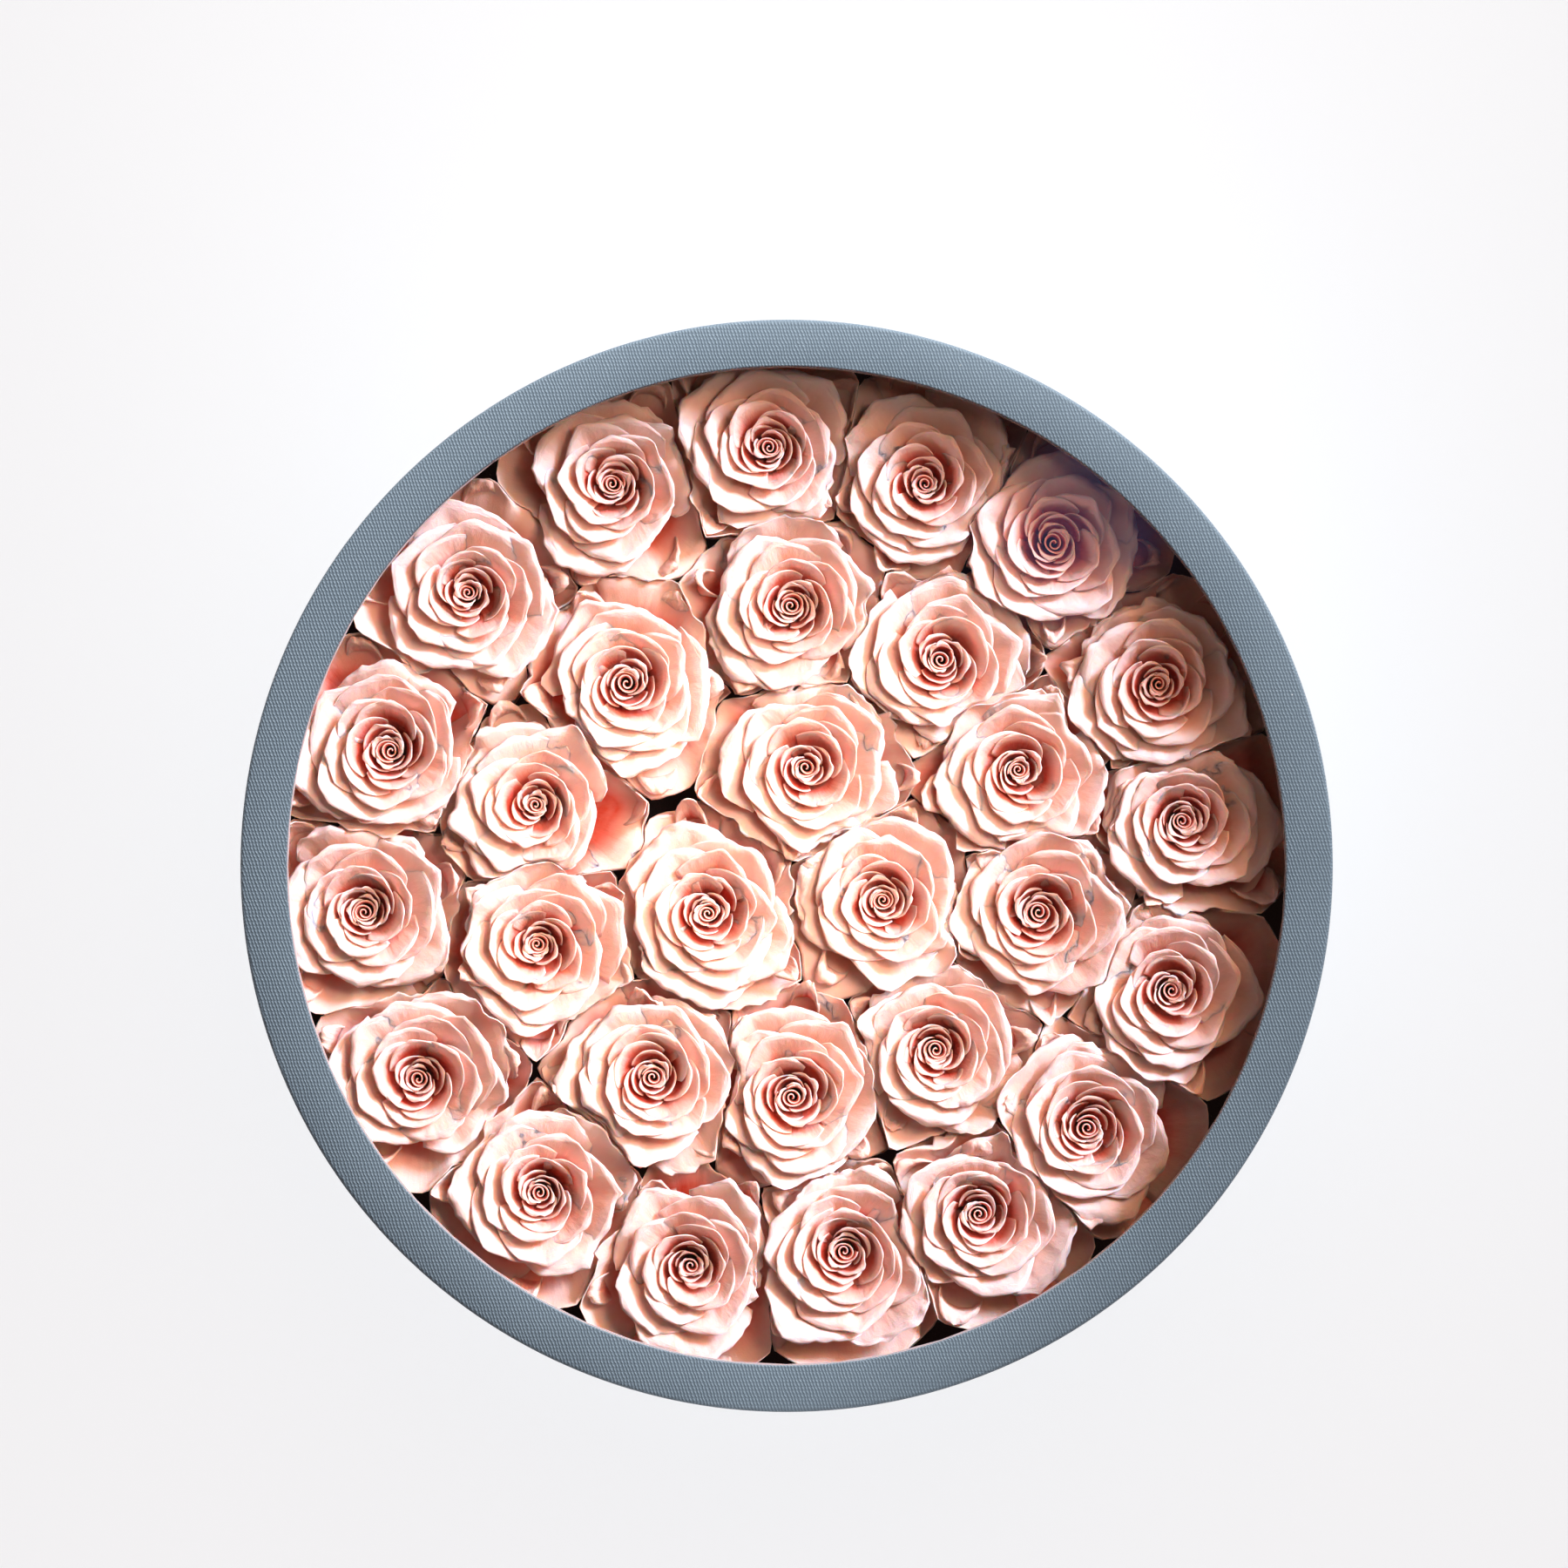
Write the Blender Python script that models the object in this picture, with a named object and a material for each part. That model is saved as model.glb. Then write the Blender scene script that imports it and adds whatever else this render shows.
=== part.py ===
"""A round flower hat box: a paper-covered box with a clear window in its lid, filled with preserved rose heads.

The box lies on its base. The origin is the middle of the underside and +Z points up through the window.
"""

import math
import random
from collections import namedtuple

import bmesh
import bpy
from mathutils import Vector

MM = 0.001

# Outside of the box
LID_RADIUS = 175 * MM
BOX_HEIGHT = 110 * MM
FRAME_WIDTH = 15 * MM
LID_DEPTH = 38 * MM

# Thickness of each sheet, and the gaps between the pieces
BOARD = 2.5 * MM
LID_BOARD = 2.2 * MM
LINING_CARD = 0.8 * MM
WINDOW_SHEET = 0.6 * MM
WINDOW_RING_CARD = 1.2 * MM
SEAT_GAP = 0.3 * MM
LID_SLIDE_GAP = 0.5 * MM
LID_RING_BOARD = 2 * MM

# Filling
FOAM_TOP = 48 * MM
BLOOM_HEIGHT = 46 * MM
BLOOM_RADIUS = 27 * MM
PETAL_REACH = 38 * MM
BLOOM_GAP = 0.5 * MM
STEM_RADIUS = 2.4 * MM
STEM_LENGTH = 14 * MM
STEM_HOLE_RADIUS = 3.2 * MM
STEM_HOLE_DEPTH = 15 * MM
STEM_HOLE_SIDES = 8

# Roses as they stand in the box: degrees round from +X and millimetres out from the middle
OUTER_ROSES = (
    (114.5, 136), (93, 135), (70.5, 133), (50, 137), (25.5, 132.5), (6, 131), (-18, 131), (-40.5, 130),
    (-60.5, 130), (-82, 128), (-103.5, 134), (-126.5, 132), (-150, 137), (-174, 137), (163.5, 136), (139.5, 135.5),
)
INNER_ROSES = (
    (89.5, 83.5), (53, 83.5), (21, 81), (-11, 84), (-51, 78.5),
    (-87.5, 74), (-122.5, 81.5), (-161.5, 84), (167, 85), (131, 77),
)
MIDDLE_ROSES = ((76, 31.5), (-147.5, 29), (-20, 33))

ROUND_SIDES = 60
BLOOM_SIDES = 15
SMOOTH_ANGLE = math.radians(35)

LID_SKIRT_INSIDE = LID_RADIUS - LID_BOARD
WINDOW_OPENING = LID_RADIUS - FRAME_WIDTH
WALL_OUTSIDE = LID_SKIRT_INSIDE - LID_SLIDE_GAP
WALL_INSIDE = WALL_OUTSIDE - BOARD
LINING_OUTSIDE = WALL_INSIDE - SEAT_GAP
LINING_INSIDE = LINING_OUTSIDE - LINING_CARD
FOAM_RADIUS = LINING_INSIDE - SEAT_GAP
FLOOR_TOP = BOARD
FILLING_BOTTOM = FLOOR_TOP + SEAT_GAP
WINDOW_TOP = BOX_HEIGHT - LID_RING_BOARD - SEAT_GAP
WINDOW_BOTTOM = WINDOW_TOP - WINDOW_SHEET
WINDOW_RING_TOP = WINDOW_BOTTOM - SEAT_GAP
WINDOW_RING_BOTTOM = WINDOW_RING_TOP - WINDOW_RING_CARD
WALL_TOP = WINDOW_RING_BOTTOM - SEAT_GAP

# One ring of points round a bloom: how far out and how high it runs, as shares of the bloom's radius and
# height. One side of each petal lies further in by `overlap`, where it tucks under the next, and its middle
# stands up by `tip`. `turn` shifts the petals round by that many sides.
Ring = namedtuple("Ring", "out up petals turn overlap tip")
BLOOM_RINGS = (
    Ring(0.110, 0.950, 3, 0, 0.26, 0.010),
    Ring(0.170, 0.880, 3, 0, 0.10, 0.000),
    Ring(0.310, 0.985, 3, 2, 0.24, 0.020),
    Ring(0.375, 0.860, 3, 2, 0.08, 0.000),
    Ring(0.530, 0.995, 5, 1, 0.18, 0.022),
    Ring(0.625, 0.955, 5, 1, 0.16, 0.014),
    Ring(0.600, 0.820, 5, 1, 0.04, 0.000),
    Ring(0.790, 0.915, 5, 2, 0.16, 0.026),
    Ring(0.880, 0.860, 5, 2, 0.12, 0.012),
    Ring(0.850, 0.740, 5, 2, 0.04, 0.000),
    Ring(1.000, 0.790, 5, 0, 0.05, 0.030),
    Ring(0.985, 0.750, 5, 0, 0.05, 0.020),
    Ring(0.600, 0.400, 5, 0, 0.06, 0.000),
)
MOST_PETALS = 5
HEART_HEIGHT = 0.90
CALYX_RADIUS = 5.5 * MM
TILT_STARTS = 0.3
LARGEST_TILT = 0.13
PETAL_UNEVENNESS = 0.04
BLOOM_HEIGHTS = (0.975, 1.02)

PAPER_BLUE = (0.19, 0.27, 0.34, 1)
LINING_BLACK = (0.012, 0.011, 0.012, 1)
CARD_GREY = (0.55, 0.55, 0.54, 1)
WINDOW_CLEAR = (0.95, 0.97, 0.98, 0.12)
PETAL_PEACH = (0.90, 0.55, 0.43, 1)


def clear_scene():
    for obj in list(bpy.data.objects):
        bpy.data.objects.remove(obj)


def make_material(name, colour, roughness):
    material = bpy.data.materials.new(name)
    material.use_nodes = True
    shader = material.node_tree.nodes["Principled BSDF"]
    shader.inputs["Base Color"].default_value = colour
    shader.inputs["Roughness"].default_value = roughness
    shader.inputs["Metallic"].default_value = 0
    shader.inputs["Alpha"].default_value = colour[3]
    return material


def add_object(name, bm, material):
    """Makes an object of a finished bmesh, shaded smooth where it is round."""
    bmesh.ops.recalc_face_normals(bm, faces=bm.faces)
    mesh = bpy.data.meshes.new(name)
    bm.to_mesh(mesh)
    bm.free()
    mesh.shade_smooth()
    mesh.set_sharp_from_angle(angle=SMOOTH_ANGLE)
    mesh.materials.append(material)
    obj = bpy.data.objects.new(name, mesh)
    bpy.context.scene.collection.objects.link(obj)
    return obj


def add_turned(name, profile, material):
    """Turns a closed outline of (radius, height) points round the box's axis."""
    bm = bmesh.new()
    corners = [bm.verts.new((radius, 0, height)) for radius, height in profile]
    edges = [bm.edges.new((a, b)) for a, b in zip(corners, corners[1:] + corners[:1])]
    bmesh.ops.spin(
        bm, geom=corners + edges, cent=(0, 0, 0), axis=(0, 0, 1), angle=math.tau, steps=ROUND_SIDES, use_merge=True
    )
    return add_object(name, bm, material)


def add_tube(name, inside, outside, bottom, top, material):
    return add_turned(name, [(outside, bottom), (outside, top), (inside, top), (inside, bottom)], material)


def add_disc(name, radius, bottom, top, material):
    bm = bmesh.new()
    bmesh.ops.create_cone(
        bm, cap_ends=True, segments=ROUND_SIDES, radius1=radius, radius2=radius, depth=top - bottom
    )
    bmesh.ops.translate(bm, verts=bm.verts, vec=(0, 0, (bottom + top) / 2))
    return add_object(name, bm, material)


def rose_spots():
    """Where each rose's stem stands, the outer ring first."""
    spots = []
    for degrees, out in OUTER_ROSES + INNER_ROSES + MIDDLE_ROSES:
        angle = math.radians(degrees)
        spots.append(Vector((out * MM * math.cos(angle), out * MM * math.sin(angle))))
    return spots


def room_for_bloom(spot, others, angle):
    """How far a bloom can reach in this direction before it meets a neighbour halfway, or the lining."""
    direction = Vector((math.cos(angle), math.sin(angle)))
    wall = (LINING_INSIDE - BLOOM_GAP) * math.cos(math.pi / ROUND_SIDES)
    along = spot.dot(direction)
    room = math.sqrt(along * along + wall * wall - spot.length_squared) - along
    for other in others:
        apart = other - spot
        facing = direction.dot(apart.normalized())
        if facing > 0:
            room = min(room, (apart.length - BLOOM_GAP) / 2 / facing)
    return room


def ring_points(ring, unevenness):
    """How far out and how high a petal ring runs at each of its sides, as shares of the bloom's size."""
    points = []
    for side in range(BLOOM_SIDES):
        place = (side + ring.turn) * ring.petals / BLOOM_SIDES
        across = place % 1 + ring.petals / BLOOM_SIDES / 2
        petal = int(place) % ring.petals
        swell = 1 - ring.overlap * (1 - across) - unevenness[petal] * ring.out
        rise = ring.up + ring.tip * (2 * math.sin(math.pi * across) - 1)
        points.append((ring.out * swell, rise))
    return points


def bloom_outline(spot, others, chance):
    """Every loop of a rose's surface, from its heart over the petals and down to the foot of its stem.

    The rings are round near the heart. Further out they take the shape of the room between the neighbours.
    """
    height = BLOOM_HEIGHT * chance.uniform(*BLOOM_HEIGHTS)
    first_angle = chance.uniform(0, math.tau)
    tilt = Vector((chance.uniform(-1, 1), chance.uniform(-1, 1))) * LARGEST_TILT
    unevenness = [chance.uniform(0, PETAL_UNEVENNESS) for _ in range(MOST_PETALS)]
    angles = [first_angle + math.tau * side / BLOOM_SIDES for side in range(BLOOM_SIDES)]
    reaches = [min(room_for_bloom(spot, others, angle), PETAL_REACH) for angle in angles]
    loops = []
    for ring in BLOOM_RINGS:
        loop = []
        for angle, reach, (out, up) in zip(angles, reaches, ring_points(ring, unevenness)):
            radius = out * (BLOOM_RADIUS + (reach - BLOOM_RADIUS) * out**2)
            side = Vector((math.cos(angle), math.sin(angle))) * radius
            lean = tilt.dot(side) * max(0, up - TILT_STARTS)
            loop.append((*(spot + side), FOAM_TOP + up * height + lean))
        loops.append(loop)
    calyx_foot = FOAM_TOP + SEAT_GAP
    for radius, level in (
        (CALYX_RADIUS, calyx_foot),
        (STEM_RADIUS, calyx_foot),
        (STEM_RADIUS, FOAM_TOP - STEM_LENGTH),
    ):
        loops.append([(*(spot + Vector((math.cos(a), math.sin(a))) * radius), level) for a in angles])
    heart = (*spot, FOAM_TOP + HEART_HEIGHT * height)
    return heart, loops


def add_rose(name, spot, others, chance, material):
    """A rose head as one closed surface: rings of overlapping petals raised round its heart, calyx and stem."""
    heart, loops = bloom_outline(spot, others, chance)
    bm = bmesh.new()
    rows = [[bm.verts.new(point) for point in loop] for loop in loops]
    middle = bm.verts.new(heart)
    for side in range(BLOOM_SIDES):
        after = (side + 1) % BLOOM_SIDES
        bm.faces.new((middle, rows[0][side], rows[0][after]))
        for inner, outer in zip(rows, rows[1:]):
            bm.faces.new((inner[side], outer[side], outer[after], inner[after]))
    bm.faces.new(reversed(rows[-1]))
    return add_object(name, bm, material)


def add_foam(spots, material):
    """The block that the stems stand in, with a plain hole for each."""
    foam = add_disc("foam_block", FOAM_RADIUS, FILLING_BOTTOM, FOAM_TOP, material)
    bm = bmesh.new()
    for spot in spots:
        made = bmesh.ops.create_cone(
            bm,
            cap_ends=True,
            segments=STEM_HOLE_SIDES,
            radius1=STEM_HOLE_RADIUS,
            radius2=STEM_HOLE_RADIUS,
            depth=2 * STEM_HOLE_DEPTH,
        )
        bmesh.ops.translate(bm, verts=made["verts"], vec=(*spot, FOAM_TOP))
    cutter = add_object("stem_hole_cutter", bm, material)
    cutter.hide_render = True
    cutter.display_type = "WIRE"
    holes = foam.modifiers.new("stem_holes", "BOOLEAN")
    holes.operation = "DIFFERENCE"
    holes.solver = "EXACT"
    holes.object = cutter


def add_box(paper, black, card):
    add_tube("base_wall", WALL_INSIDE, WALL_OUTSIDE, 0, WALL_TOP, paper)
    add_disc("base_floor", WALL_INSIDE - SEAT_GAP, 0, FLOOR_TOP, paper)
    add_tube("lining", LINING_INSIDE, LINING_OUTSIDE, FILLING_BOTTOM, WALL_TOP, black)
    add_tube("window_ring", WINDOW_OPENING, WALL_OUTSIDE, WINDOW_RING_BOTTOM, WINDOW_RING_TOP, card)


def add_lid(paper, clear):
    under_ring = BOX_HEIGHT - LID_RING_BOARD
    skirt_foot = BOX_HEIGHT - LID_DEPTH
    add_turned(
        "lid_frame",
        [
            (LID_RADIUS, skirt_foot),
            (LID_RADIUS, BOX_HEIGHT),
            (WINDOW_OPENING, BOX_HEIGHT),
            (WINDOW_OPENING, under_ring),
            (LID_SKIRT_INSIDE, under_ring),
            (LID_SKIRT_INSIDE, skirt_foot),
        ],
        paper,
    )
    add_disc("window_sheet", WALL_OUTSIDE, WINDOW_BOTTOM, WINDOW_TOP, clear)


def main():
    clear_scene()
    paper = make_material("embossed_paper", PAPER_BLUE, 0.55)
    black = make_material("black_card", LINING_BLACK, 0.8)
    card = make_material("grey_card", CARD_GREY, 0.8)
    clear = make_material("clear_sheet", WINDOW_CLEAR, 0.05)
    petals = make_material("rose_petal", PETAL_PEACH, 0.7)
    add_box(paper, black, card)
    add_lid(paper, clear)
    spots = rose_spots()
    add_foam(spots, black)
    for number, spot in enumerate(spots, start=1):
        others = [other for other in spots if other is not spot]
        add_rose(f"rose_{number:02d}", spot, others, random.Random(number), petals)


main()
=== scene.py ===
"""The looks of a flower hat box: embossed paper, a clear window and full-blown preserved roses.

The roses are the main thing. Each is grown from its heart outwards: a rolled core, then petal after petal
at the golden angle, every petal a grid bent into a cup wall with a lip that rolls outwards.
"""

import math
import random
from collections import namedtuple

import bmesh
import bpy
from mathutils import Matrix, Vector, noise


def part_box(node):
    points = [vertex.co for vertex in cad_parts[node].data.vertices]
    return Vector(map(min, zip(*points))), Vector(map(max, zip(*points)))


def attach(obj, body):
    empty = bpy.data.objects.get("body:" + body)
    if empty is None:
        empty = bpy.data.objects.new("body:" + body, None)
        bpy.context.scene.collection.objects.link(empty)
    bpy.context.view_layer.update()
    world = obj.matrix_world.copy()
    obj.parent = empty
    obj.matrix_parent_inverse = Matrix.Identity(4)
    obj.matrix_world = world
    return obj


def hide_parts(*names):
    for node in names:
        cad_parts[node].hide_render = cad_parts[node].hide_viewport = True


MM = 0.001

# Photograph: where the lid's outer circle lies in its frame
PHOTO_SIZE = 1800
LID_CENTRE_PX = (903, 994)
LID_DIAMETER_PX = 1255
CAMERA_HEIGHT = 1.7
SENSOR_WIDTH = 36

# Box, where the frame's own boxes don't say it
FRAME_WIDTH = 15 * MM
LID_RING_BOARD = 2 * MM
LID_BOARD = 2.2 * MM
WALL_BOARD = 2.5 * MM
LINING_CARD = 0.8 * MM
ROUND_STEPS = 240
LID_EDGE_ROUNDING = 1.3 * MM
OPENING_EDGE_ROUNDING = 0.5 * MM
WALL_EDGE_ROUNDING = 0.8 * MM
SMALL_ROUNDING = 0.4 * MM

# Embossed paper: rows of short slanted bumps, their tops painted paler as a painted highlight
GRAIN_ROW = 1.2 * MM
GRAIN_COLUMN = 1.06 * MM
GRAIN_STAGGER = 0.37
GRAIN_SLANT = 0.34
GRAIN_WANDER = 0.9
GRAIN_HALF_WIDTH = 0.33
GRAIN_HALF_LENGTH = 0.52
GRAIN_DEPTH = 0.16 * MM
PAPER_DARK = (0.150, 0.207, 0.264, 1)
PAPER_PALE = (0.255, 0.335, 0.410, 1)
PAPER_DUST = (0.62, 0.66, 0.68, 1)

# Petal colours, at the heart and outside. The paler edge colours are partly the petals' own colour and partly a
# painted highlight on the rims; the deep red one is painted shade down in the creases.
EDGE_AT_HEART = (0.95, 0.78, 0.72, 1)
EDGE_OUTSIDE = (0.94, 0.85, 0.84, 1)
WALL_AT_HEART = (0.96, 0.62, 0.50, 1)
WALL_OUTSIDE = (0.96, 0.71, 0.62, 1)
DEEP_PAINTED_SHADE = (0.70, 0.07, 0.03, 1)
BLUSH = (0.97, 0.60, 0.47, 1)
PALE_BLOTCH = (0.97, 0.78, 0.72, 1)
VEIN = (0.95, 0.55, 0.42, 1)

# Roses. The first five match the plain solids that the roses stand for
BLOOM_HEIGHT = 46 * MM
BLOOM_HEIGHTS = (0.975, 1.02)
BLOOM_RADIUS = 27 * MM
PETAL_REACH = 38 * MM
LARGEST_TILT = 0.13
TILT_STARTS = 0.3
PETALS = 26
GUARD_PETALS = 7
GOLDEN_ANGLE = math.radians(137.5)
PETAL_THICKNESS = 0.32 * MM
PETAL_FOOT = 5 * MM
CORE_TURNS = (2.2, 2.9)
CORE_RADIUS = 3.1 * MM
CORE_START = 0.12 * MM
CORE_DEPTH = 9 * MM
CORE_FLARE = 0.8 * MM
STEM_RADIUS = 2.4 * MM

# Where blooms meet: the border between two waves, and leans so that one bloom lies over the other
BLOOM_GAP = 0.1 * MM
BORDER_WAVE = 1.3 * MM
BORDER_WAVELENGTH = 24 * MM
BORDER_OVERLAP = 4.2 * MM
BORDER_CALM = 8 * MM
BORDER_MIDDLE = 7 * MM
BORDER_DEPTH = 5 * MM
PRESSED_EDGE = 2.4 * MM
LARGEST_PRESS = 3.5 * MM
TUCK_SLOPE = -1.3
ROOM_STEPS = 180
WALL_SHARE = 0.5

# How a petal changes from the heart (0) to the outside (1): millimetres, degrees or shares of its half width
PETAL_EDGE = (
    (0, 4.4), (0.12, 6.0), (0.16, 7.2), (0.28, 8.6), (0.32, 11.2), (0.44, 13.2), (0.48, 14.6),
    (0.56, 16.2), (0.6, 18.5), (0.72, 20.8), (0.76, 23.2), (0.88, 25.8), (0.92, 28.2), (1, 31.0),
)
PETAL_HALF_SPAN = ((0, 76), (0.3, 66), (0.6, 58), (1, 56))
PETAL_LIP = ((0, 1.4), (0.2, 1.4), (0.35, 1.3), (0.6, 1.7), (0.8, 2.6), (1, 3.0))
PETAL_LEAN = ((0, 2), (0.2, 3), (0.32, 8), (0.42, 22), (0.6, 40), (0.85, 56), (1, 64))
PETAL_CURL = ((0, 84), (0.25, 74), (0.4, 50), (0.6, 50), (1, 56))
PETAL_SINK = (
    (0, 5.8), (0.12, 5.4), (0.2, 4.6), (0.3, 3.4), (0.34, 1.5),
    (0.42, 0.6), (0.5, 0.1), (0.7, 0.6), (0.85, 1.5), (1, 2.8),
)
PETAL_HANDLE = ((0, 0.5), (0.6, 0.46), (1, 0.34))
PETAL_FOOT_DEPTH = ((0, 8), (0.25, 11), (0.5, 24), (0.7, 41), (1, 41))
PETAL_FOOT_RADIUS = ((0, 2.6), (0.25, 4.6), (0.5, 5.2), (0.7, 4.0), (1, 4.5))
PETAL_DROP = ((0, 0.8), (0.3, 1.6), (0.7, 2.2), (1, 2.4))
PETAL_PLUNGE = ((0, 1.0), (0.3, 2.2), (1, 3.6))
PETAL_TUCK = ((0, 0.06), (0.3, 0.12), (0.6, 0.14), (1, 0.14))
PETAL_SPIRAL = ((0, 0.16), (0.3, 0.11), (0.6, 0.08), (1, 0.06))
PETAL_PEAK = ((0, 0.03), (0.4, 0.03), (1, 0.04))
PETAL_FLAT = ((0, 0.05), (0.3, 0.12), (0.5, 0.25), (0.75, 0.45), (1, 0.6))
PETAL_SWELL = ((0, 0.04), (0.4, 0.03), (1, 0.03))
PETAL_SHIFT = ((0, 0.2), (0.6, 0.3), (1, 0.3))
PETAL_WAVE = ((0, 0.7), (0.5, 1.0), (1, 1.6))
PETAL_CRINKLE = ((0, 0.2), (0.5, 0.25), (0.75, 0.35), (0.9, 1.0), (1, 2.0))
PETAL_FOLD = ((0, 0.08), (0.4, 0.2), (1, 0.5))
PETAL_NOTCH = ((0, 0.8), (0.5, 1.6), (1, 2.0))
PETAL_COLUMNS = ((0, 17), (0.28, 18), (0.32, 23), (0.6, 25), (1, 27))
PETAL_ROWS = ((0, 7), (0.3, 7), (0.34, 8), (1, 8))
LARGEST_WELL = 1.8
CORNER_POINT = 0.03
HEART_SIZES = (0.85, 1.15)
HEART_SHIFT = 1.9 * MM

# Guard petals below the bloom, and ruffles in the corners between three blooms: the range of each draw
GUARD_RADIUS = (27, 31)
GUARD_HALF_SPAN = (48, 62)
GUARD_SINK = (7.5, 17.5)
GUARD_LEAN = (40, 66)
GUARD_CURL = (50, 150)
GUARD_LIP = (2.5, 5)
GUARD_CRINKLE = (1.6, 4)
# GUARD_SHADE adds painted shade to the guard petals, which turn deeper red the lower they sit.
GUARD_SHADE = (0.1, 0.35)
RUFFLE_SINK = (2, 8)
RUFFLE_INSET = (1.5, 4)
RUFFLE_HALF_WIDTH = (5, 9)
RUFFLE_FOOT_INSET = 4 * MM
RUFFLE_DEPTH = 13 * MM
RUFFLE_LEAN = (15, 50)
RUFFLE_CURL = (60, 170)
RUFFLE_LIP = (2.5, 5)
RUFFLE_DROP = (1, 4)
RUFFLE_PLUNGE = (2, 5)
RUFFLE_CRINKLE = (1, 2.5)
RUFFLE_NOTCH = (0, 2)
# RUFFLE_SHADE adds painted shade to the ruffles.
RUFFLE_SHADE = 0.12

WHITE = (1.0, 1.0, 1.0)

Petal = namedtuple(
    "Petal",
    "angle half_span radius height foot_radius foot_height handle lean lip curl drop plunge tuck tip spiral"
    " peak flat swell shift shift_angle wave crinkle fold notch notch_place seed columns rows tone age fill"
    " shade",
)
Bloom = namedtuple("Bloom", "spot foot height tilt rooms first_angle heart heart_shift folds twist")


def between(points, place):
    """The value at this place on a line through (place, value) points."""
    for (low, start), (high, end) in zip(points, points[1:]):
        if place <= high:
            return start + (end - start) * (place - low) / (high - low)
    return points[-1][1]


def smooth(value):
    value = max(0.0, min(1.0, value))
    return value * value * (3 - 2 * value)


# Materials


def new_material(name):
    """A new material with its node tree and its shader."""
    material = bpy.data.materials.new(name)
    material.use_nodes = True
    tree = material.node_tree
    tree.nodes.clear()
    shader = tree.nodes.new("ShaderNodeBsdfPrincipled")
    output = tree.nodes.new("ShaderNodeOutputMaterial")
    tree.links.new(shader.outputs[0], output.inputs[0])
    return material, tree, shader


def add_node(tree, kind, values=(), **settings):
    node = tree.nodes.new(kind)
    for key, value in settings.items():
        setattr(node, key, value)
    for socket, value in dict(values).items():
        node.inputs[socket].default_value = value
    return node


def add_math(tree, operation, first, second=None, third=None):
    """A math node's output. Each input is a number or another node's output."""
    node = tree.nodes.new("ShaderNodeMath")
    node.operation = operation
    for index, value in enumerate((first, second, third)):
        if isinstance(value, bpy.types.NodeSocket):
            tree.links.new(value, node.inputs[index])
        elif value is not None:
            node.inputs[index].default_value = value
    return node.outputs[0]


def add_blend(tree, share, first, second, kind="MIX"):
    """A colour between two, by share. Each of the three is a value or another node's output."""
    node = tree.nodes.new("ShaderNodeMix")
    node.data_type = "RGBA"
    node.blend_type = kind
    for index, value in ((0, share), (6, first), (7, second)):
        if isinstance(value, bpy.types.NodeSocket):
            tree.links.new(value, node.inputs[index])
        else:
            node.inputs[index].default_value = value
    return node.outputs[2]


def add_noise(tree, vector, scale, detail=3, roughness=0.5):
    node = add_node(tree, "ShaderNodeTexNoise", {"Scale": scale, "Detail": detail, "Roughness": roughness})
    tree.links.new(vector, node.inputs["Vector"])
    return node.outputs["Fac"]


def add_bump(tree, height, distance, strength=1.0, below=None):
    node = add_node(tree, "ShaderNodeBump", {"Strength": strength, "Distance": distance})
    tree.links.new(height, node.inputs["Height"])
    if below is not None:
        tree.links.new(below, node.inputs["Normal"])
    return node.outputs[0]


def stretch(tree, value, low, high, to_low=0.0, to_high=1.0):
    """Maps low..high to to_low..to_high, held at both ends."""
    node = add_node(
        tree, "ShaderNodeMapRange", {"From Min": low, "From Max": high, "To Min": to_low, "To Max": to_high}
    )
    tree.links.new(value, node.inputs[0])
    return node.outputs[0]


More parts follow.
